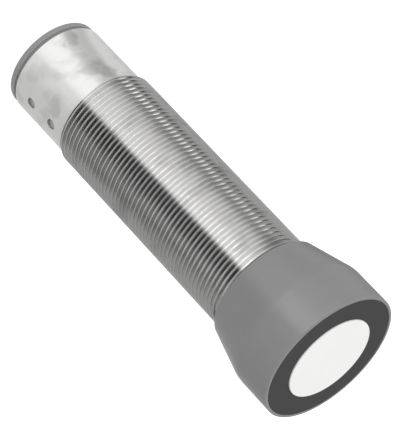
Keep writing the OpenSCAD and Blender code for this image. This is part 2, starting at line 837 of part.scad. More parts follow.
barrel();
sensor_head();
head_seal();
decoupling_ring();
matching_disc();
piezo_disc();
backing_pad();
transducer_holder();
transducer_lead_red();
transducer_lead_black();
temperature_probe();
insulating_sleeve();
board_sled();
main_board();
microcontroller();
amplifier_chip();
voltage_regulator();
output_transistors();
protection_diodes();
storage_capacitors();
crystal();
choke();
transformer_core();
transformer_coil();
transformer_former();
chip_components();
indicator_strip();
yellow_led();
green_led();
indicator_lenses();
rear_cap();
cap_seal();
plug_shell();
plug_seal();
plug_insert();
plug_pins();
plug_lead_brown();
plug_lead_white();
plug_lead_blue();
plug_lead_black();
plug_lead_grey();
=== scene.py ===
"""Dresses a round ultrasonic distance sensor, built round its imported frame.

The sensor stands on its rear cap, looks along +Z and carries two indicator windows on its +X side. The
frame gives each part's place and reach. Sizes that the frame doesn't give are fields of the classes below,
in millimetres, and MM turns them into Blender's metres.
"""

import json
import logging
import math
from collections.abc import Sequence
from dataclasses import dataclass
from enum import Enum
from functools import cache

import bmesh
import bpy
from mathutils import Matrix, Vector


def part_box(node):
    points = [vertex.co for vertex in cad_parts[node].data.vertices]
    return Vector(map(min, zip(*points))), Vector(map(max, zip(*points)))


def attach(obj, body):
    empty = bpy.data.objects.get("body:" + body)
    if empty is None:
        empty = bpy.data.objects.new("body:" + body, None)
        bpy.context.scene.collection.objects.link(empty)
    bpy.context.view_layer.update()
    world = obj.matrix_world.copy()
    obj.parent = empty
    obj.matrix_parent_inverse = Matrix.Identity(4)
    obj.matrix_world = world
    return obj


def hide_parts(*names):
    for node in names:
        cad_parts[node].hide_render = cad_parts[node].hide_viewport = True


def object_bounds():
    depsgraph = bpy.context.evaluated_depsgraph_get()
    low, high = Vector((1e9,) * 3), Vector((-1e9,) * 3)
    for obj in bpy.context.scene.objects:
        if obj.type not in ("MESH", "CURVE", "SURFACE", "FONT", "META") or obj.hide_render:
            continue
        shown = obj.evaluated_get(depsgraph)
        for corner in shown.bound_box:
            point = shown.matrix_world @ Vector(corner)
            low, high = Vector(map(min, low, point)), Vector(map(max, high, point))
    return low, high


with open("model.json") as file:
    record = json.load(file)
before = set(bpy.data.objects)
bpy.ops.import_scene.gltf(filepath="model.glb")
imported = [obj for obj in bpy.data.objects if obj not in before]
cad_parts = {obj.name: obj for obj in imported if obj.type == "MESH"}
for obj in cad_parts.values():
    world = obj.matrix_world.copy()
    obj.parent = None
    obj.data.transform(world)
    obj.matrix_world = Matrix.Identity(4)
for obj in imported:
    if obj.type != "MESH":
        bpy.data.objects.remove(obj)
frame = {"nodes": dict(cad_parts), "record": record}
CAD_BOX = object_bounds()

LOG = logging.getLogger("sensor")
MM = 0.001
FULL_TURN = 2 * math.pi
SMOOTH_ANGLE = math.radians(40)
TURN_STEPS = 192
SMALL_TURN_STEPS = 64

# How near points lie that are welded into one, and how far a cutter reaches past a piece, in millimetres
WELD = 0.001
BEYOND = 1.0

# Depth of the rear cap's well, in millimetres
WELL_DEPTH = 9.5

# Radii that edges and inner corners are rounded to, in millimetres
SHARP = 0.05
CRISP = 0.08
SOFT = 0.1
BROKEN = 0.15
FILLET = 0.2

Point = tuple[float, float]
Corner = tuple[float, float, float]
Colour = tuple[float, float, float]
Piece = bpy.types.Object
Socket = bpy.types.NodeSocket
Feed = float | Sequence[float] | Socket


def blend(low: float, high: float, share: float) -> float:
    """Gives the value at a share of the way from one number to another."""
    return low + (high - low) * share


def reach(node: str) -> tuple[Vector, Vector]:
    """Gives a node's lowest and highest corner in millimetres."""
    low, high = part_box(node)
    return low / MM, high / MM


def middle_z(node: str) -> float:
    """Gives the height of a node's middle in millimetres."""
    return sum(corner.z for corner in reach(node)) / 2


def rounded(corners: Sequence[Corner], closed: bool = True, steps: int = 4) -> list[Point]:
    """Rounds each corner of an outline by its own radius.

    Args:
        corners: radius from the axis, height and rounding radius of each corner, in order.
        closed: whether the last corner joins the first. The ends of an open outline have no rounding.
        steps: steps of each arc.

    Returns:
        The outline's points. A closed outline ends with its first point again.
    """
    points: list[Point] = []
    for index, (r, z, radius) in enumerate(corners):
        if radius <= 0:
            points.append((r, z))
            continue
        here = Vector((r, z))
        before = (Vector(corners[index - 1][:2]) - here).normalized()
        after = (Vector(corners[(index + 1) % len(corners)][:2]) - here).normalized()
        half = before.angle(after) / 2
        centre = here + (before + after).normalized() * radius / math.sin(half)
        first = here + before * radius / math.tan(half) - centre
        last = here + after * radius / math.tan(half) - centre
        sweep = first.angle_signed(last)
        for step in range(steps + 1):
            spot = centre + Matrix.Rotation(-sweep * step / steps, 2) @ first
            points.append((spot.x, spot.y))
    return points + points[:1] if closed else points


class Bench:
    """Modelling moves that several pieces share."""

    @staticmethod
    def pick(piece: Piece) -> None:
        """Makes one piece the only selected and the active one."""
        bpy.ops.object.select_all(action="DESELECT")
        piece.select_set(True)
        bpy.context.view_layer.objects.active = piece

    @staticmethod
    def modify(piece: Piece, kind: str, **settings: object) -> None:
        """Applies one modifier to a piece.

        Args:
            piece: the piece.
            kind: the modifier's type.
            settings: settings of the modifier.
        """
        Bench.pick(piece)
        modifier = piece.modifiers.new(kind, kind)
        for name, value in settings.items():
            setattr(modifier, name, value)
        bpy.ops.object.modifier_apply(modifier=modifier.name)

    @staticmethod
    def draw(name: str, points: Sequence[Point]) -> Piece:
        """Draws a chain of edges in the plane y = 0.

        Args:
            name: the piece's name.
            points: distance from the axis and height of each point, in millimetres.

        Returns:
            The piece, in edit mode with all of it selected.
        """
        bpy.ops.object.select_all(action="DESELECT")
        bpy.ops.mesh.primitive_plane_add(size=MM, location=(0, 0, 0))
        piece = bpy.context.object
        piece.name = piece.data.name = name
        bpy.ops.object.mode_set(mode="EDIT")
        bpy.ops.mesh.select_mode(type="VERT")
        bpy.ops.mesh.select_all(action="SELECT")
        bpy.ops.mesh.merge(type="CENTER")
        bpy.ops.transform.translate(value=(points[0][0] * MM, 0, points[0][1] * MM))
        for (r0, z0), (r1, z1) in zip(points, points[1:]):
            move = ((r1 - r0) * MM, 0, (z1 - z0) * MM)
            bpy.ops.mesh.extrude_vertices_move(TRANSFORM_OT_translate={"value": move})
        bpy.ops.mesh.select_all(action="SELECT")
        return piece

    @staticmethod
    def turn(name: str, points: Sequence[Point], steps: int = TURN_STEPS) -> Piece:
        """Turns a chain of points round the z axis, as on a lathe.

        Args:
            name: the piece's name.
            points: distance from the axis and height of each point, in millimetres.
            steps: steps of the full turn.

        Returns:
            The piece, in object mode.
        """
        piece = Bench.draw(name, points)
        axis = {"center": (0, 0, 0), "axis": (0, 0, 1)}
        bpy.ops.mesh.spin(steps=steps, angle=FULL_TURN, **axis, use_auto_merge=True)
        Bench.weld()
        bpy.ops.object.mode_set(mode="OBJECT")
        return piece

    @staticmethod
    def weld() -> None:
        """Merges doubles of the mesh in edit mode and turns its faces outwards."""
        bpy.ops.mesh.select_all(action="SELECT")
        bpy.ops.mesh.remove_doubles(threshold=WELD * MM)
        bpy.ops.mesh.normals_make_consistent(inside=False)

    @staticmethod
    def point_sideways(piece: Piece, height: float) -> None:
        """Lays a piece that was turned round z along +X, at a height in millimetres."""
        piece.rotation_euler = (0, math.pi / 2, 0)
        piece.location = (0, 0, height * MM)
        Bench.pick(piece)
        bpy.ops.object.transform_apply()

    @staticmethod
    def copy(piece: Piece, move: Corner) -> Piece:
        """Copies a piece with a mesh of its own and moves the copy by some millimetres."""
        twin = piece.copy()
        twin.data = piece.data.copy()
        bpy.context.scene.collection.objects.link(twin)
        twin.location = Vector(move) * MM
        Bench.pick(twin)
        bpy.ops.object.transform_apply()
        return twin

    @staticmethod
    def join(pieces: Sequence[Piece]) -> Piece:
        """Joins pieces into the first one and gives it."""
        Bench.pick(pieces[0])
        for piece in pieces[1:]:
            piece.select_set(True)
        bpy.ops.object.join()
        return pieces[0]

    @staticmethod
    def combine(piece: Piece, other: Piece, operation: str = "DIFFERENCE") -> None:
        """Cuts one closed piece out of another, or unites the two, and deletes the other.

        Args:
            piece: the piece that stays.
            other: the cutter, or the piece that is added.
            operation: DIFFERENCE or UNION.
        """
        Bench.modify(piece, "BOOLEAN", operation=operation, solver="MANIFOLD", object=other)
        bpy.data.objects.remove(other)

    @staticmethod
    def box(name: str, low: Corner, high: Corner, edge: float) -> Piece:
        """Makes a block with bevelled edges.

        Args:
            name: the piece's name.
            low: its lowest corner, in millimetres.
            high: its highest corner, in millimetres.
            edge: width of the bevel, in millimetres.

        Returns:
            The block.
        """
        size = (Vector(high) - Vector(low)) * MM
        bpy.ops.object.select_all(action="DESELECT")
        bpy.ops.mesh.primitive_cube_add(size=1, location=(Vector(high) + Vector(low)) * MM / 2)
        piece = bpy.context.object
        piece.name = piece.data.name = name
        piece.scale = size
        bpy.ops.object.transform_apply()
        bpy.ops.object.mode_set(mode="EDIT")
        bpy.ops.mesh.select_all(action="SELECT")
        bpy.ops.mesh.bevel(offset=edge * MM, segments=2)
        bpy.ops.object.mode_set(mode="OBJECT")
        return piece

    @staticmethod
    def finish(piece: Piece) -> None:
        """Shades a piece smooth apart from its sharp edges, with flat faces kept flat."""
        Bench.pick(piece)
        bpy.ops.object.shade_smooth_by_angle(angle=SMOOTH_ANGLE)
        Bench.modify(piece, "WEIGHTED_NORMAL", keep_sharp=True)


@dataclass(frozen=True)
class Thread:
    """A right-hand metric thread round the z axis, with its first turn chamfered.

    Lengths are in millimetres. The depth and the crest are given as shares of the pitch, the shoulder and
    the fillet as shares of the depth, and their bends as shares of their own size. The phase is in turns.
    """

    crest_r: float
    pitch: float
    start: float
    end: float
    steps: int = 160
    phase: float = 0.0
    spare_turns: float = 1.5
    lead_slope: float = 1.0
    depth_ratio: float = 0.6134
    crest_ratio: float = 0.035
    shoulder_ratio: float = 0.055
    shoulder_bend: tuple[Point, ...] = ((0.7, 0.3), (1.2, 1.0))
    fillet_ratio: float = 0.12
    fillet_bend: Point = (0.35, 0.25)
    flank_slope: float = math.tan(math.radians(30))

    @property
    def root_r(self) -> float:
        """Radius at the bottom of the grooves."""
        return self.crest_r - self.depth_ratio * self.pitch

    def groove(self) -> list[Point]:
        """Gives one pitch as radius and height of each point, with rounded crests and root."""
        depth = self.crest_r - self.root_r
        crest = self.crest_ratio * self.pitch
        shoulder = self.shoulder_ratio * depth
        fillet = self.fillet_ratio * depth
        flank = (depth - fillet - shoulder) * self.flank_slope
        fall = [(crest, 0.0)]
        fall += [(crest + along * shoulder, down * shoulder) for along, down in self.shoulder_bend]
        fall.append((fall[-1][0] + flank, depth - fillet))
        along, up = self.fillet_bend
        fall.append((blend(fall[-1][0], self.pitch / 2, along), depth - up * fillet))
        falling = [(self.crest_r - down, along) for along, down in fall]
        rising = [(r, self.pitch - along) for r, along in reversed(falling)]
        return falling + [(self.root_r, self.pitch / 2)] + rising + [(self.crest_r, self.pitch + crest)]

    def wind(self, name: str) -> Piece:
        """Winds the thread's surface from start to end, open at both ends."""
        first = self.start - (self.spare_turns + self.phase) * self.pitch
        piece = Bench.draw(name, [(r, first + along) for r, along in self.groove()])
        bpy.ops.object.mode_set(mode="OBJECT")
        turns = math.ceil((self.end - self.start) / self.pitch) + math.ceil(self.spare_turns)
        Bench.modify(
            piece, "SCREW", axis="Z", angle=FULL_TURN, screw_offset=self.pitch * MM, iterations=turns,
            steps=self.steps, render_steps=self.steps, use_merge_vertices=True, merge_threshold=WELD * MM,
        )
        bpy.ops.object.mode_set(mode="EDIT")
        Bench.weld()
        for height, side in ((self.start, -1), (self.end, 1)):
            bpy.ops.mesh.select_all(action="SELECT")
            plane = {"plane_co": (0, 0, height * MM), "plane_no": (0, 0, side)}
            bpy.ops.mesh.bisect(**plane, clear_outer=True, threshold=WELD * MM)
        bpy.ops.object.mode_set(mode="OBJECT")
        return piece

    def chamfer(self, piece: Piece, foot: float) -> None:
        """Cuts the chamfer on the first turn.

        Args:
            piece: the closed piece.
            foot: radius at which the chamfer starts.
        """
        low, play = self.start, 10 * WELD
        outside = self.crest_r + play
        high = low + (outside - foot) / self.lead_slope
        wide = outside + BEYOND
        wedge = [(foot + play, low - play), (wide, low - play), (wide, high + BEYOND / self.lead_slope)]
        Bench.combine(piece, Bench.turn("chamfer_cutter", [*wedge, wedge[0]], self.steps))

    def build(self, name: str, body: Sequence[Point]) -> Piece:
        """Builds a turned body with this thread on it.

        Args:
            name: the piece's name.
            body: chain from just inside the thread's upper end, round the body, to the thread's lower end.

        Returns:
            The closed piece.
        """
        piece = Bench.join([Bench.turn(name, body, self.steps), self.wind(name)])
        bpy.ops.object.mode_set(mode="EDIT")
        bpy.ops.mesh.select_mode(type="EDGE")
        for height in (self.start, self.end):
            bpy.ops.mesh.select_all(action="DESELECT")
            mesh = bmesh.from_edit_mesh(piece.data)
            for edge in mesh.edges:
                level = all(abs(vertex.co.z / MM - height) < 2 * WELD for vertex in edge.verts)
                edge.select_set(edge.is_boundary and level)
            bmesh.update_edit_mesh(piece.data)
            bpy.ops.mesh.bridge_edge_loops()
        bpy.ops.mesh.select_all(action="SELECT")
        bpy.ops.mesh.normals_make_consistent(inside=False)
        bpy.ops.object.mode_set(mode="OBJECT")
        self.chamfer(piece, body[-1][0])
        return piece


class Graph:
    """A node tree and the moves that wire it."""

    def __init__(self, tree: bpy.types.NodeTree) -> None:
        """Takes a tree and empties it."""
        self.tree = tree
        tree.nodes.clear()

    @classmethod
    def group(cls, name: str, inputs: Sequence[str], outputs: Sequence[str]) -> "Graph":
        """Starts a node group whose input Vector is a vector and whose other sockets are numbers."""
        tree = bpy.data.node_groups.new(name, "ShaderNodeTree")
        for way, names in (("INPUT", inputs), ("OUTPUT", outputs)):
            for socket in names:
                kind = "NodeSocketVector" if socket == "Vector" else "NodeSocketFloat"
                tree.interface.new_socket(socket, in_out=way, socket_type=kind)
        return cls(tree)

    def add(
        self, kind: str, feeds: dict[str | int, Feed] | None = None, **settings: object
    ) -> bpy.types.Node:
        """Adds a node.

        Args:
            kind: the node's type.
            feeds: a value, or the socket that feeds it, for inputs by name or number.
            settings: settings of the node itself.

        Returns:
            The node.
        """
        node = self.tree.nodes.new(kind)
        for name, value in settings.items():
            setattr(node, name, value)
        for name, value in (feeds or {}).items():
            if isinstance(value, Socket):
                self.tree.links.new(value, node.inputs[name])
            else:
                node.inputs[name].default_value = value
        return node

    def math(self, operation: str, *values: Feed) -> Socket:
        """Adds a Math node and gives its result."""
        return self.add("ShaderNodeMath", dict(enumerate(values)), operation=operation).outputs[0]

    def vector(self, operation: str, *values: Feed) -> Socket:
        """Adds a Vector Math node and gives its result."""
        node = self.add("ShaderNodeVectorMath", dict(enumerate(values)), operation=operation)
        return node.outputs["Value" if operation in ("DOT_PRODUCT", "LENGTH", "DISTANCE") else "Vector"]

    def mix(self, share: Feed, low: Feed, high: Feed) -> Socket:
        """Adds a colour Mix node.

        Args:
            share: how much of the second colour shows, from 0 to 1.
            low: the first colour.
            high: the second colour.

        Returns:
            The mixed colour.
        """
        low, high = (tone if isinstance(tone, Socket) else (*tone, 1) for tone in (low, high))
        return self.add("ShaderNodeMix", {0: share, 6: low, 7: high}, data_type="RGBA").outputs[2]

    def spread(self, value: Feed, start: Point, end: Point, smooth: bool = False) -> Socket:
        """Maps a value from one range to another.

        Args:
            value: the value.
            start: the range's start, and what it becomes.
            end: the range's end, and what it becomes.
            smooth: whether the step between them is smooth.

        Returns:
            The result, held within the range.
        """
        feeds = {"Value": value}
        for limit, (place, result) in (("Min", start), ("Max", end)):
            feeds[f"From {limit}"], feeds[f"To {limit}"] = place, result
        kind = "SMOOTHSTEP" if smooth else "LINEAR"
        return self.add("ShaderNodeMapRange", feeds, interpolation_type=kind).outputs["Result"]

    def ramp(self, value: Feed, stops: Sequence[Point]) -> Socket:
        """Adds a ramp of greys, from each stop's place and grey, and gives its grey at a value."""
        node = self.add("ShaderNodeValToRGB", {0: value})
        elements = node.color_ramp.elements
        elements.remove(elements[1])
        elements[0].position = stops[0][0]
        for place, _ in stops[1:]:
            elements.new(place)
        for element, (_, grey) in zip(elements, stops):
            element.color = (grey, grey, grey, 1)
        return node.outputs["Color"]

    def noise(self, vector: Feed, scale: Feed, detail: float = 2.0, result: str | int = 0) -> Socket:
        """Adds a Noise Texture and gives its value, or another of its results."""
        feeds = {"Vector": vector, "Scale": scale, "Detail": detail}
        return self.add("ShaderNodeTexNoise", feeds).outputs[result]


# Detail of fine noise, the share of a texture's scale that its clouds and its broad rings have, and how
# far rings are stretched round the axis
FINE_DETAIL = 3.0
CLOUD_SHARE = 0.05
BROAD_SHARE = 0.3
RING_STRETCH = (0.03, 0.03, 1.0)

# Distance from a speck's middle and tone, at its core and at its rim, and a weave's darkest and palest tone
SPECK_CORE = (0.12, 0.0)
SPECK_RIM = (0.3, 1.0)
WEAVE_TONES = (0.2, 0.8)


class Texture(Enum):
    """What a finish's fine texture is."""

    GRAIN = "moulded grain"
    TURNED = "turning marks"
    CELLS = "foam cells"
    SPECKS = "filler specks"
    WEAVE = "glass weave"
    WINDING = "wound wire"

    @cache
    def group(self) -> bpy.types.NodeTree:
        """Makes the texture's node group, once, with Vector and Scale in, and Height and Tone out."""
        graph = Graph.group(self.value, ("Vector", "Scale"), ("Height", "Tone"))
        start = graph.add("NodeGroupInput")
        height, tone = self.pattern(graph, start.outputs["Vector"], start.outputs["Scale"])
        graph.add("NodeGroupOutput", {"Height": height, "Tone": tone})
        return graph.tree

    def pattern(self, graph: Graph, place: Feed, scale: Feed) -> tuple[Socket, Socket]:
        """Wires the texture.

        Args:
            graph: the group's graph.
            place: the place on the surface.
            scale: how many grains a metre holds.

        Returns:
            The height and the tone, from 0 to 1.
        """
        coarse = graph.noise(place, graph.math("MULTIPLY", scale, CLOUD_SHARE))
        if self is Texture.GRAIN:
            return graph.noise(place, scale, FINE_DETAIL), coarse
        if self is Texture.TURNED:
            rings = graph.vector("MULTIPLY", place, RING_STRETCH)
            broad = graph.math("MULTIPLY", scale, BROAD_SHARE)
            return graph.noise(rings, scale, FINE_DETAIL), graph.noise(rings, broad, FINE_DETAIL)
        if self in (Texture.CELLS, Texture.SPECKS):
            cells = graph.add("ShaderNodeTexVoronoi", {"Vector": place, "Scale": scale}).outputs
            if self is Texture.CELLS:
                return cells["Distance"], graph.math("MULTIPLY", cells["Color"], coarse)
            specks = graph.spread(cells["Distance"], SPECK_CORE, SPECK_RIM)
            return graph.noise(place, scale), graph.math("MULTIPLY", specks, coarse)
        parts = graph.add("ShaderNodeSeparateXYZ", {0: place})
        turns = [graph.math("SINE", graph.math("MULTIPLY", part, scale)) for part in parts.outputs]
        if self is Texture.WINDING:
            return graph.math("ABSOLUTE", turns[0]), coarse
        weave = graph.math("MULTIPLY", turns[1], turns[2])
        tone = graph.spread(weave, (-1.0, WEAVE_TONES[0]), (1.0, WEAVE_TONES[1]))
        return graph.spread(weave, (-1.0, 0.0), (1.0, 1.0)), tone


@dataclass(frozen=True)
class Finish:
    """A finish of one colour with a fine texture in it. Grain and depth are in millimetres."""

    slot: str
    colour: Colour
    roughness: float
    texture: Texture = Texture.GRAIN
    grain: float = 0.25
    depth: float = 0.003
    variation: float = 0.08
    metallic: float = 0.0
    specular: float = 0.5

    @cache
    def material(self) -> bpy.types.Material:
        """Makes the finish's material, once."""
        made = bpy.data.materials.new(self.slot)
        made.use_nodes = True
        graph = Graph(made.node_tree)
        place = graph.add("ShaderNodeTexCoord").outputs["Object"]
        feeds = {"Vector": place, "Scale": 1 / (self.grain * MM)}
        texture = graph.add("ShaderNodeGroup", feeds, node_tree=self.texture.group())
        height, tone = (texture.outputs[name] for name in ("Height", "Tone"))
        bump = graph.add("ShaderNodeBump", {"Height": height, "Distance": self.depth * MM})
        shader = graph.add("ShaderNodeBsdfPrincipled", {
            "Base Color": self.tint(graph, place, tone),
            "Roughness": self.dullness(graph, place, tone),
            "Normal": bump.outputs["Normal"],
            "Metallic": self.metallic,
            "Specular IOR Level": self.specular,
        })
        graph.add("ShaderNodeOutputMaterial", {"Surface": shader.outputs["BSDF"]})
        return made

    def shade(self, factor: float) -> Colour:
        """Gives the colour made darker or lighter by a factor."""
        return tuple(min(1.0, part * factor) for part in self.colour)

    def tint(self, graph: Graph, place: Feed, tone: Feed) -> Socket:
        """Wires the colour from the texture's tone."""
        return graph.mix(tone, self.shade(1 - self.variation), self.shade(1 + self.variation))

    def dullness(self, graph: Graph, place: Feed, tone: Feed) -> Socket:
        """Wires the roughness from the texture's tone."""
        low, high = self.roughness * (1 - self.variation), self.roughness * (1 + self.variation)
        return graph.spread(tone, (0.0, low), (1.0, high))


@dataclass(frozen=True)
class Smudge:
    """A dull place on the plating: where it is, how far it reaches and how dark it is.

    The azimuth is in degrees, and the height and the reach are in millimetres.
    """

    azimuth: float
    height: float
    reach: float
    strength: float


@dataclass(frozen=True)
class Plating(Finish):
    """Bright nickel on turned brass, with dull places where it was handled.

    The dull places are a faint cloud all over and single smudges, whose outlines a coarse noise stirs.
    Their sizes and the barrel's radius are in millimetres.
    """

    smudge_r: float = 14.1
    smudges: tuple[Smudge, ...] = ()
    dull: float = 0.62
    dull_roughness: float = 0.1
    cloud: float = 6.0
    cloud_start: Point = (0.5, 0.0)
    cloud_end: Point = (0.72, 0.4)
    stir: float = 4.0
    swing: float = 9.0
    core: float = 0.3

    def handled(self, graph: Graph, place: Feed) -> Socket:
        """Wires the mask of the dull places, 1 where the plating is dullest."""
        cloud = graph.noise(place, 1 / (self.cloud * MM), FINE_DETAIL)
        mask = graph.spread(cloud, self.cloud_start, self.cloud_end, smooth=True)
        stir = graph.noise(place, 1 / (self.stir * MM), FINE_DETAIL, "Color")
        swing = graph.vector("SUBTRACT", stir, (0.5, 0.5, 0.5))
        moved = graph.vector("MULTIPLY_ADD", swing, [self.swing * MM] * 3, place)
        for smudge in self.smudges:
            turn = math.radians(smudge.azimuth)
            way = Vector((math.cos(turn), math.sin(turn), smudge.height / self.smudge_r))
            distance = graph.vector("DISTANCE", moved, way * self.smudge_r * MM)
            core = self.core * smudge.reach * MM
            spot = graph.spread(distance, (core, smudge.strength), (smudge.reach * MM, 0.0), smooth=True)
            mask = graph.math("MAXIMUM", mask, spot)
        return mask

    def tint(self, graph: Graph, place: Feed, tone: Feed) -> Socket:
        """Wires the colour from the turning marks and the dull places."""
        marks = super().tint(graph, place, tone)
        return graph.mix(self.handled(graph, place), marks, self.shade(self.dull))

    def dullness(self, graph: Graph, place: Feed, tone: Feed) -> Socket:
        """Wires the roughness from the dull places."""
        rough = self.roughness
        return graph.spread(self.handled(graph, place), (0.0, rough), (1.0, rough + self.dull_roughness))


NICKEL = (0.78, 0.777, 0.77)
FINISHES = {
    finish.slot: finish
    for finish in (
        Plating(
            "nickel_plated_brass", NICKEL, 0.13, Texture.TURNED, grain=0.35, depth=0.0006,
            variation=0.03, metallic=1.0, smudges=(
                Smudge(-88, 5, 4, 0.75), Smudge(-80, 13.5, 3.5, 0.4), Smudge(-85, 17, 4.5, 0.7),
                Smudge(-92, 20.5, 3.5, 0.65), Smudge(-21, 18, 4.5, 0.45), Smudge(-30, 6, 3.5, 0.3),
                Smudge(60, 12, 6, 0.5), Smudge(150, 9, 7, 0.6), Smudge(205, 16, 5, 0.5),
            ),
        ),
        Finish("head_plastic", (0.25, 0.25, 0.25), 0.3, grain=0.18, depth=0.004, variation=0.04),
        Finish("cap_plastic", (0.3, 0.3, 0.3), 0.45, grain=0.18, depth=0.004, variation=0.06),
        Finish("seal_rubber", (0.02, 0.02, 0.02), 0.6, grain=0.1),
        Finish(
            "ring_foam", (0.055, 0.055, 0.056), 0.75, Texture.CELLS, grain=0.22, depth=0.012,
            variation=0.15,
        ),
        Finish(
            "disc_resin", (0.93, 0.93, 0.92), 0.55, Texture.SPECKS, grain=0.35, depth=0.002, variation=0.02,
        ),
        Finish("piezo_ceramic", (0.5, 0.45, 0.35), 0.4, Texture.SPECKS, grain=0.1),
        Finish(
            "backing_foam", (0.09, 0.09, 0.1), 0.9, Texture.CELLS, grain=0.4, depth=0.05, variation=0.2,
        ),
        Finish("inner_plastic", (0.03, 0.03, 0.033), 0.5),
        Finish("lead_red", (0.5, 0.02, 0.01), 0.4),
        Finish("lead_black", (0.015, 0.015, 0.015), 0.4),
        Finish("lead_brown", (0.09, 0.035, 0.015), 0.4),
        Finish("lead_white", (0.75, 0.75, 0.72), 0.4),
        Finish("lead_blue", (0.02, 0.06, 0.35), 0.4),
        Finish("lead_grey", (0.2, 0.2, 0.2), 0.4),
        Finish("bead_glaze", (0.08, 0.05, 0.03), 0.2),
        Finish("sleeve_film", (0.45, 0.28, 0.06), 0.3),
        Finish("board_laminate", (0.02, 0.09, 0.035), 0.4, Texture.WEAVE, grain=0.16, depth=0.01),
        Finish("chip_resin", (0.025, 0.025, 0.027), 0.55, grain=0.08),
        Finish("can_aluminium", (0.75, 0.76, 0.78), 0.3, Texture.TURNED, grain=0.1, metallic=1.0),
        Finish("ferrite", (0.045, 0.045, 0.05), 0.5, Texture.SPECKS, grain=0.15),
        Finish(
            "winding_copper", (0.7, 0.3, 0.16), 0.3, Texture.WINDING, grain=0.08, depth=0.05, metallic=1.0,
        ),
        Finish("chip_ceramic", (0.3, 0.26, 0.2), 0.45, Texture.SPECKS, grain=0.1),
        Finish("led_yellow", (0.75, 0.55, 0.08), 0.3),
        Finish("led_green", (0.12, 0.45, 0.12), 0.3),
        Finish("lens_smoke", (0.36, 0.36, 0.36), 0.3, grain=0.4, depth=0.001),
        Finish("insert_plastic", (0.02, 0.02, 0.02), 0.45),
        Finish("pin_gold", (0.85, 0.6, 0.25), 0.25, Texture.TURNED, grain=0.08, metallic=1.0),
    )
}


def fit(piece: Piece, slot: str, node: str) -> None:
    """Finishes a new piece and puts it in the place of its node.

    Args:
        piece: the piece.
        slot: the record's slot that its finish belongs to.
        node: the node that it stands for.
    """
    Bench.finish(piece)
    piece.data.materials.clear()
    piece.data.materials.append(FINISHES[slot].material())
    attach(piece, "root")
    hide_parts(node)
    LOG.info("%s: %d faces, finish %s", piece.name, len(piece.data.polygons), slot)


@dataclass(frozen=True)
class Barrel:
    """The threaded metal barrel with its two window holes."""

    pitch: float = 1.5
    wall: float = 1.33
    plain_l: float = 20.8
    plain_step: float = 0.9
    spigot_l: float = 9.8
    chamfer: float = 0.3
    spigot_play: float = 0.03
    hole_play: float = 0.02
    countersink: float = 0.15
    thread_phase: float = 0.27
    lead_slope: float = 0.6

    def build(self) -> None:
        """Builds and fits the barrel."""
        low, high = reach("barrel")
        windows, lens = reach("indicator_lenses")
        start, end = low.z + self.plain_l, high.z - self.spigot_l
        thread = Thread(high.x, self.pitch, start, end, phase=self.thread_phase, lead_slope=self.lead_slope)
        bore = thread.root_r - self.wall
        spigot = thread.root_r - self.spigot_play
        plain = high.x - self.plain_step
        edge = self.chamfer
        body = rounded([
            (spigot, end, 0), (spigot, high.z - edge, SHARP), (spigot - edge, high.z, SHARP),
            (bore, high.z, SOFT), (bore, low.z, SOFT), (plain - edge, low.z, CRISP),
            (plain, low.z + edge, CRISP), (plain, start, 0),
        ], closed=False)
        piece = thread.build("barrel_turned", body)
        hole = (lens.y - windows.y) / 2 + self.hole_play
        for height in (windows.z + hole, lens.z - hole):
            self.bore_window(piece, height, bore, plain, hole)
        fit(piece, "nickel_plated_brass", "barrel")

    def bore_window(self, piece: Piece, height: float, bore: float, plain: float, hole: float) -> None:
        """Bores one window hole with a small countersink.

        Args:
            piece: the barrel.
            height: height of the hole's axis.
            bore: radius of the barrel's bore.
            plain: radius of the barrel's plain part.
            hole: radius of the hole.
        """
        cutter = Bench.turn("window_cutter", [
            (0, bore - BEYOND), (hole, bore - BEYOND), (hole, plain - self.countersink),
            (hole + BEYOND, plain + BEYOND), (0, plain + BEYOND),
        ], steps=SMALL_TURN_STEPS)
        Bench.point_sideways(cutter, height)
        Bench.combine(piece, cutter)


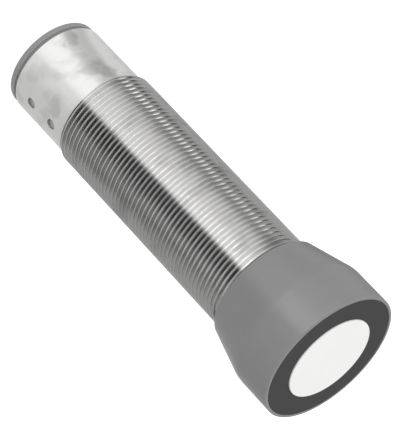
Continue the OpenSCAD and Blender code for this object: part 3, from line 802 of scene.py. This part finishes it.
@dataclass(frozen=True)
class SensingHead:
    """The plastic head, with the foam ring and the matching disc in its face."""

    rear_r: float = 16.45
    rear_chamfer: float = 0.5
    straight_l: float = 12.3
    blend_r: float = 10.0
    face_round: float = 0.25
    lip_w: float = 0.85
    lip_depth: float = 2.0
    wall: float = 1.9
    socket_r: float = 14.13
    web_hole_r: float = 9.0
    web_t: float = 2.2
    socket_l: float = 9.9
    groove_l: float = 1.6
    groove_r: float = 15.3
    ring_play: float = 0.02
    ring_round: float = 0.22
    disc_round: float = 0.16
    arc_steps: int = 6

    def build(self) -> None:
        """Builds and fits the head's three pieces."""
        self.housing()
        self.ring()
        self.disc()

    def housing(self) -> None:
        """Turns the head's housing."""
        low, high = reach("sensor_head")
        seal = middle_z("head_seal")
        lip, pocket = high.x - self.lip_w, high.x - self.wall
        web = low.z + self.socket_l
        floor = web + self.web_t
        shelf = high.z - self.lip_depth
        groove = self.groove_l / 2
        outline = rounded([
            (self.socket_r, low.z, SOFT), (self.rear_r - self.rear_chamfer, low.z, BROKEN),
            (self.rear_r, low.z + self.rear_chamfer, BROKEN),
            (high.x, high.z - self.straight_l, self.blend_r), (high.x, high.z, self.face_round),
            (lip, high.z, CRISP), (lip, shelf, SHARP), (pocket, shelf, SHARP),
            (pocket, floor, FILLET), (self.web_hole_r, floor, FILLET), (self.web_hole_r, web, FILLET),
            (self.socket_r, web, SOFT), (self.socket_r, seal + groove, SHARP),
            (self.groove_r, seal + groove, SOFT), (self.groove_r, seal - groove, SOFT),
            (self.socket_r, seal - groove, SHARP),
        ], steps=self.arc_steps)
        fit(Bench.turn("head_housing", outline), "head_plastic", "sensor_head")

    def ring(self) -> None:
        """Turns the foam ring, with soft edges towards the lip and the disc."""
        low, high = reach("decoupling_ring")
        inner = reach("matching_disc")[1].x + self.ring_play
        head = reach("sensor_head")[1]
        shelf = head.z - self.lip_depth
        pocket = head.x - self.wall - self.ring_play
        outline = rounded([
            (inner, low.z, SOFT), (pocket, low.z, SOFT), (pocket, shelf, SHARP), (high.x, shelf, SOFT),
            (high.x, high.z, self.ring_round), (inner, high.z, self.ring_round / 2),
        ])
        fit(Bench.turn("decoupling_foam", outline), "ring_foam", "decoupling_ring")

    def disc(self) -> None:
        """Turns the matching disc, with a soft edge."""
        low, high = reach("matching_disc")
        outline = rounded([
            (0, low.z, 0), (high.x, low.z, SOFT), (high.x, high.z, self.disc_round), (0, high.z, 0),
        ], closed=False)
        fit(Bench.turn("matching_face", outline), "disc_resin", "matching_disc")


@dataclass(frozen=True)
class RearCap:
    """The plastic cap that closes the barrel and holds the plug in its well."""

    edge_h: float = 2.6
    edge_round: float = 0.4
    groove: float = 0.5
    groove_h: float = 0.85
    spigot_r: float = 12.7
    seat_r: float = 11.53
    seat_l: float = 1.6
    well_r: float = 10.5
    well_edge: float = 0.3
    neck_r: float = 6.42
    notch_r: float = 11.26
    notch_w: float = 4.44

    def build(self) -> None:
        """Turns the cap, cuts the notch for the indicator strip and fits it."""
        low, high = reach("rear_cap")
        seal = middle_z("cap_seal")
        seat = self.seat_l / 2
        shade = high.x - self.groove
        outline = rounded([
            (self.well_r, low.z, self.well_edge), (high.x, low.z, self.edge_round),
            (high.x, self.edge_h - self.groove_h, SOFT), (shade, self.edge_h - self.groove_h, SHARP),
            (shade, self.edge_h, SHARP), (self.spigot_r, self.edge_h, SHARP),
            (self.spigot_r, seal - seat, SHARP), (self.seat_r, seal - seat, SOFT),
            (self.seat_r, seal + seat, SOFT), (self.spigot_r, seal + seat, SHARP),
            (self.spigot_r, high.z, self.well_edge), (self.neck_r, high.z, SOFT),
            (self.neck_r, WELL_DEPTH, SOFT), (self.well_r, WELL_DEPTH, self.well_edge),
        ])
        piece = Bench.turn("cap_moulded", outline)
        strip = reach("indicator_strip")[0].z
        half = self.notch_w / 2
        notch = Bench.box(
            "notch", (self.notch_r, -half, strip), (self.spigot_r + BEYOND, half, high.z + BEYOND),
            self.well_edge / 2,
        )
        Bench.combine(piece, notch)
        fit(piece, "cap_plastic", "rear_cap")


@dataclass(frozen=True)
class Plug:
    """The round plug: a threaded shell, a moulded insert and five contact pins."""

    thread_r: float = 6.0
    pitch: float = 1.0
    thread_l: float = 7.0
    bore_r: float = 4.45
    lead_in: float = 0.2
    relief: float = 0.02
    cap_top: float = 12.0
    neck_r: float = 6.4
    groove_r: float = 5.42
    groove_l: float = 1.2
    insert_r: float = 4.43
    insert_z: float = 8.0
    insert_flange_h: float = 1.0
    key_w: float = 1.4
    key_h: float = 0.8
    hole_r: float = 0.52
    hole_edge: float = 0.12
    pin_r: float = 0.5
    pin_circle_r: float = 2.7
    pins_on_circle: int = 4
    first_pin_turn: float = 45.0
    pin_dome: float = 0.45
    thread_steps: int = 96
    insert_steps: int = 128
    pin_steps: int = 32
    dome_steps: int = 6

    def build(self) -> None:
        """Builds and fits the plug's three pieces."""
        self.shell()
        self.insert()
        self.pins()

    def places(self) -> list[Point]:
        """Gives where the pins stand, with the one in the middle last."""
        step, radius = 360 / self.pins_on_circle, self.pin_circle_r
        degrees = [self.first_pin_turn + step * number for number in range(self.pins_on_circle)]
        turns = [math.radians(turn) for turn in degrees]
        return [(radius * math.cos(turn), radius * math.sin(turn)) for turn in turns] + [(0, 0)]

    def shell(self) -> None:
        """Builds the threaded shell."""
        low, high = reach("plug_shell")
        seal = middle_z("plug_seal")
        thread = Thread(self.thread_r, self.pitch, low.z, low.z + self.thread_l, self.thread_steps)
        root = thread.root_r - self.relief
        groove = self.groove_l / 2
        body = rounded([
            (root, thread.end, 0), (root, WELL_DEPTH, SOFT), (self.neck_r, WELL_DEPTH, SOFT),
            (self.neck_r, seal - groove, SHARP), (self.groove_r, seal - groove, SOFT),
            (self.groove_r, seal + groove, SOFT), (self.neck_r, seal + groove, SHARP),
            (self.neck_r, self.cap_top, SHARP), (high.x, self.cap_top, SOFT), (high.x, high.z, SOFT),
            (self.bore_r, high.z, SOFT), (self.bore_r, low.z + self.lead_in, SHARP),
            (self.bore_r + self.lead_in, low.z, SHARP), (root, low.z, 0),
        ], closed=False)
        fit(thread.build("plug_turned", body), "nickel_plated_brass", "plug_shell")

    def insert(self) -> None:
        """Builds the insert with its coding key and the holes for the pins."""
        low, high = reach("plug_insert")
        shoulder = high.z - self.insert_flange_h
        piece = Bench.turn("insert_moulded", rounded([
            (0, self.insert_z, 0), (self.insert_r, self.insert_z, BROKEN),
            (self.insert_r, shoulder, SHARP), (high.x, shoulder, SOFT), (high.x, high.z, SOFT),
            (0, high.z, 0),
        ], closed=False), steps=self.insert_steps)
        key = Bench.box(
            "key", (self.insert_r - self.key_h, -self.key_w / 2, low.z),
            (self.insert_r - self.hole_edge, self.key_w / 2, self.insert_z + self.hole_r),
            self.hole_edge,
        )
        Bench.combine(piece, key, "UNION")
        hole = Bench.turn("pin_hole", [
            (0, self.insert_z - BEYOND), (self.hole_r + BEYOND + self.hole_edge, self.insert_z - BEYOND),
            (self.hole_r, self.insert_z + self.hole_edge), (self.hole_r, high.z + BEYOND),
            (0, high.z + BEYOND),
        ], steps=self.pin_steps)
        for x, y in self.places():
            Bench.combine(piece, Bench.copy(hole, (x, y, 0)))
        bpy.data.objects.remove(hole)
        fit(piece, "insert_plastic", "plug_insert")

    def pins(self) -> None:
        """Builds the contact pins, with domed tips."""
        low, high = reach("plug_pins")
        pin = Bench.turn("contact_pins", rounded([
            (0, low.z, 0), (self.pin_r, low.z, self.pin_dome), (self.pin_r, high.z, CRISP),
            (0, high.z, 0),
        ], closed=False, steps=self.dome_steps), steps=self.pin_steps)
        copies = [Bench.copy(pin, (x, y, 0)) for x, y in self.places()[:-1]]
        fit(Bench.join([pin, *copies]), "pin_gold", "plug_pins")


@dataclass(frozen=True)
class IndicatorLenses:
    """The two smoked lenses in the window holes."""

    dome: float = 0.15
    dome_steps: int = 6

    def build(self) -> None:
        """Turns one domed lens, copies it and fits both."""
        low, high = reach("indicator_lenses")
        radius = (high.y - low.y) / 2
        edge = high.x - self.dome
        turns = [math.pi / 2 * (1 - step / self.dome_steps) for step in range(self.dome_steps + 1)]
        arch = [(radius * math.sin(turn), edge + self.dome * math.cos(turn)) for turn in turns]
        outline = [(0, low.x), (radius, low.x), *arch]
        lens = Bench.turn("smoked_lenses", outline, steps=SMALL_TURN_STEPS)
        Bench.point_sideways(lens, low.z + radius)
        twin = Bench.copy(lens, (0, 0, high.z - low.z - 2 * radius))
        fit(Bench.join([lens, twin]), "lens_smoke", "indicator_lenses")


class Inside:
    """The parts inside, whose CAD shapes stay and take their finishes from the record's slots."""

    def build(self) -> None:
        """Dresses every node that no piece replaces."""
        for part in frame["record"]["subparts"]:
            node = frame["nodes"][part["node"]]
            node.data.materials.clear()
            node.data.materials.append(FINISHES[part["material_slot"]].material())
            LOG.info("%s: finish %s", node.name, part["material_slot"])


@dataclass(frozen=True)
class Studio:
    """The pale floor, the soft light and the camera.

    Lengths are in millimetres, apart from the lamp's size and distance, which are in metres. Angles are in
    degrees, and a brightness of 1 is white. From the object, front points level towards the camera, and
    side points level to the right as seen from there.
    """

    camera_place: Corner = (357.19, -495.25, 399.27)
    camera_right: Corner = (-0.78344, -0.16107, 0.60023)
    camera_up: Corner = (-0.35009, -0.68363, -0.64039)
    lens: float = 221.14
    front: Corner = (0.585, -0.811, 0.0)
    side: Corner = (0.811, 0.585, 0.0)
    ambient: float = 0.87
    ambient_tilt: float = 0.13
    floor_colour: float = 0.85
    floor_white: float = 0.62
    floor_r: float = 3000.0
    floor_hole: float = 11.5
    floor_gap: float = 0.02
    lamp_size: float = 0.7
    lamp_azimuth: float = -88.0
    lamp_elevation: float = 42.0
    lamp_distance: float = 1.1
    lamp_power: float = 2.4

    # Cards on the floor that metal mirrors, in four rings: angle from the front in degrees, and brightness
    near: tuple[Point, ...] = (
        (-180, 0.9), (-150, 0.6), (-107, 0.77), (-86, 0.8), (-70, 0.6), (-56, 0.65), (-44, 0.86),
        (-32, 1.12), (-21, 1.17), (-10, 1.17), (0, 1.1), (10, 0.92), (21, 0.86), (32, 0.8), (44, 0.7),
        (56, 0.68), (110, 0.66), (150, 0.7), (180, 0.9),
    )
    middle: tuple[Point, ...] = (
        (-180, 0.95), (-158, 0.95), (-156, 0.08), (-142, 0.08), (-130, 0.33), (-112, 0.47), (-98, 0.5),
        (-90, 0.32), (-80, 0.26), (-71, 0.36), (-62, 0.54), (-50, 0.71), (-41, 0.83), (-32, 0.92),
        (-24, 0.95), (-15, 1.0), (-7, 1.08), (2, 1.1), (10.5, 0.02), (30, 0.02), (40, 0.06), (52, 0.2),
        (66, 0.26), (90, 0.32), (110, 0.42), (130, 0.45), (145, 0.6), (160, 0.95), (180, 0.95),
    )
    edge: tuple[Point, ...] = (
        (-180, 0.95), (-156, 0.2), (-130, 0.33), (-112, 0.47), (-98, 0.5), (-90, 0.36), (-80, 0.32),
        (-71, 0.42), (-62, 0.56), (-50, 0.72), (-41, 0.84), (-31, 0.95), (-20, 6.5), (2, 6.5), (8, 1.0),
        (14, 0.05), (90, 0.05), (130, 0.2), (150, 0.5), (180, 0.95),
    )
    far: tuple[Point, ...] = (
        (-180, 0.9), (-150, 0.6), (-120, 0.42), (-104, 0.46), (-96, 0.5), (-80, 0.46), (-69, 0.66),
        (-55, 1.05), (-30, 1.2), (0, 1.1), (10, 0.7), (20, 0.72), (40, 0.95), (60, 0.85), (80, 0.5),
        (100, 0.42), (130, 0.4), (160, 0.8), (180, 0.9),
    )
    near_r: Point = (53.0, 64.0)
    edge_r: Point = (236.0, 242.0)
    far_r: Point = (284.0, 290.0)
    far_light: Point = (0.6, 1.1)
    fade_r: float = 650.0

    # The sky that metal mirrors: height above the horizon as a sine, and brightness. The second one is
    # for the side that side points to.
    sky: tuple[Point, ...] = (
        (0.5, 0.4), (0.58, 0.35), (0.63, 0.05), (0.7, 0.05), (0.735, 1.5), (0.79, 1.5), (0.8, 0.02),
        (0.86, 0.02), (0.875, 0.5), (1.0, 0.6),
    )
    sky_side: tuple[Point, ...] = (
        (0.3, 0.34), (0.5, 0.33), (0.62, 0.32), (0.75, 0.18), (0.85, 0.06), (1.0, 0.06),
    )
    sky_start: Point = (0.1, 0.4)
    side_half_w: float = 0.1

    def build(self) -> None:
        """Builds the floor, the world, the lamp and the camera."""
        self.floor()
        self.world()
        self.lamp()
        self.camera()
        bpy.context.scene.view_settings.view_transform = "Standard"

    @cache
    def cards(self) -> bpy.types.NodeTree:
        """Makes the cards' node group, once, with Vector in and each ring's brightness out."""
        rings = {"Near": self.near, "Middle": self.middle, "Edge": self.edge, "Far": self.far}
        graph = Graph.group("studio cards", ["Vector"], list(rings))
        place = graph.add("NodeGroupInput").outputs["Vector"]
        across, along = (graph.vector("DOT_PRODUCT", place, line) for line in (self.side, self.front))
        share = graph.spread(graph.math("ARCTAN2", across, along), (-math.pi, 0.0), (math.pi, 1.0))
        graph.add("NodeGroupOutput", {
            ring: graph.ramp(share, [((angle + 180) / 360, light) for angle, light in stops])
            for ring, stops in rings.items()
        })
        return graph.tree

    def around(self, graph: Graph, place: Feed) -> bpy.types.NodeOutputs:
        """Adds the cards' group for a place on the floor or a way to the sky, and gives its outputs."""
        return graph.add("ShaderNodeGroup", {"Vector": place}, node_tree=self.cards()).outputs

    def floor(self) -> None:
        """Lays the pale floor, seen from above alone, with a hole that lets light reach the plug.

        The camera sees it white with the object's shadow, and metal mirrors its cards.
        """
        rims = [(radius, -self.floor_gap) for radius in (self.floor_hole, self.floor_r)]
        floor = Bench.turn("floor", rims, steps=SMALL_TURN_STEPS)
        if floor.data.polygons[0].normal.z < 0:
            floor.data.flip_normals()
        made = bpy.data.materials.new("floor_white")
        made.use_nodes = True
        graph = Graph(made.node_tree)
        place = graph.add("ShaderNodeTexCoord").outputs["Object"]
        cards = self.around(graph, place)
        distance = graph.vector("LENGTH", place)
        near, far = self.far_light
        fade = graph.spread(distance, (self.far_r[1] * MM, near), (self.fade_r * MM, far))
        outer = graph.vector("MULTIPLY", cards["Far"], fade)
        lit = cards["Near"]
        steps = ((self.near_r, cards["Middle"]), (self.edge_r, cards["Edge"]), (self.far_r, outer))
        for (start, end), ring in steps:
            lit = graph.mix(graph.spread(distance, (start * MM, 0.0), (end * MM, 1.0)), lit, ring)
        rays = graph.add("ShaderNodeLightPath").outputs
        white = graph.add("ShaderNodeEmission", {
            "Strength": graph.math("MULTIPLY", rays["Is Camera Ray"], self.floor_white)
        })
        matt = graph.add("ShaderNodeBsdfDiffuse", {"Color": (*[self.floor_colour] * 3, 1)})
        shown = graph.add("ShaderNodeAddShader", {0: white.outputs[0], 1: matt.outputs[0]})
        mirrored = graph.add("ShaderNodeEmission", {"Color": lit})
        either = graph.add("ShaderNodeMixShader", {
            0: rays["Is Glossy Ray"], 1: shown.outputs[0], 2: mirrored.outputs[0]
        })
        through = graph.add("ShaderNodeBsdfTransparent")
        below = graph.add("ShaderNodeNewGeometry").outputs["Backfacing"]
        sided = graph.add("ShaderNodeMixShader", {0: below, 1: either.outputs[0], 2: through.outputs[0]})
        graph.add("ShaderNodeOutputMaterial", {"Surface": sided.outputs[0]})
        floor.data.materials.append(made)

    def world(self) -> None:
        """Lights the object evenly, shows the camera white and lets metal mirror a studio's sky."""
        world = bpy.data.worlds.new("studio")
        bpy.context.scene.world = world
        world.use_nodes = True
        graph = Graph(world.node_tree)
        way = graph.add("ShaderNodeTexCoord").outputs["Generated"]
        up = graph.vector("DOT_PRODUCT", way, (0, 0, 1))
        sideways = graph.vector("DOT_PRODUCT", way, self.side)
        side = graph.spread(sideways, (-self.side_half_w, 0.0), (self.side_half_w, 1.0), smooth=True)
        sky = graph.mix(side, graph.ramp(up, self.sky), graph.ramp(up, self.sky_side))
        start, end = self.sky_start
        high = graph.spread(up, (start, 0.0), (end, 1.0), smooth=True)
        horizon = graph.vector("MULTIPLY", self.around(graph, way)["Far"], [self.far_light[1]] * 3)
        mirrored = graph.mix(high, horizon, sky)
        rays = graph.add("ShaderNodeLightPath").outputs
        bright, dark = (self.ambient * (1 + tilt) for tilt in (self.ambient_tilt, -self.ambient_tilt))
        even = graph.spread(sideways, (-1.0, bright), (1.0, dark))
        light = graph.mix(rays["Is Glossy Ray"], even, mirrored)
        seen = graph.math("MAXIMUM", rays["Is Camera Ray"], rays["Is Transmission Ray"])
        background = graph.add("ShaderNodeBackground", {"Color": graph.mix(seen, light, (1.0, 1.0, 1.0))})
        graph.add("ShaderNodeOutputWorld", {"Surface": background.outputs[0]})

    def lamp(self) -> None:
        """Hangs one large soft lamp beside the camera."""
        middle = (CAD_BOX[0] + CAD_BOX[1]) / 2
        data = bpy.data.lights.new("soft_lamp", "AREA")
        data.size = self.lamp_size
        data.energy = self.lamp_power
        turn, rise = math.radians(self.lamp_azimuth), math.radians(self.lamp_elevation)
        way = Vector((math.cos(turn) * math.cos(rise), math.sin(turn) * math.cos(rise), math.sin(rise)))
        lamp = bpy.data.objects.new("soft_lamp", data)
        bpy.context.scene.collection.objects.link(lamp)
        lamp.location = middle + way * self.lamp_distance
        lamp.rotation_euler = way.to_track_quat("Z", "Y").to_euler()
        lamp.visible_glossy = False

    def camera(self) -> None:
        """Sets the camera at the photograph's angle."""
        data = bpy.data.cameras.new("camera")
        data.lens = self.lens
        camera = bpy.data.objects.new("camera", data)
        bpy.context.scene.collection.objects.link(camera)
        right, up = Vector(self.camera_right), Vector(self.camera_up)
        turned = Matrix((right, up, right.cross(up))).transposed()
        camera.matrix_world = Matrix.Translation(Vector(self.camera_place) * MM) @ turned.to_4x4()
        bpy.context.scene.camera = camera


def main() -> None:
    """Builds the sensor's sub-assemblies and the studio in order."""
    logging.basicConfig(level=logging.INFO, format="%(message)s")
    for assembly in (Inside(), Barrel(), SensingHead(), RearCap(), Plug(), IndicatorLenses(), Studio()):
        LOG.info("building %s", type(assembly).__name__)
        assembly.build()


if __name__ == "__main__":
    main()
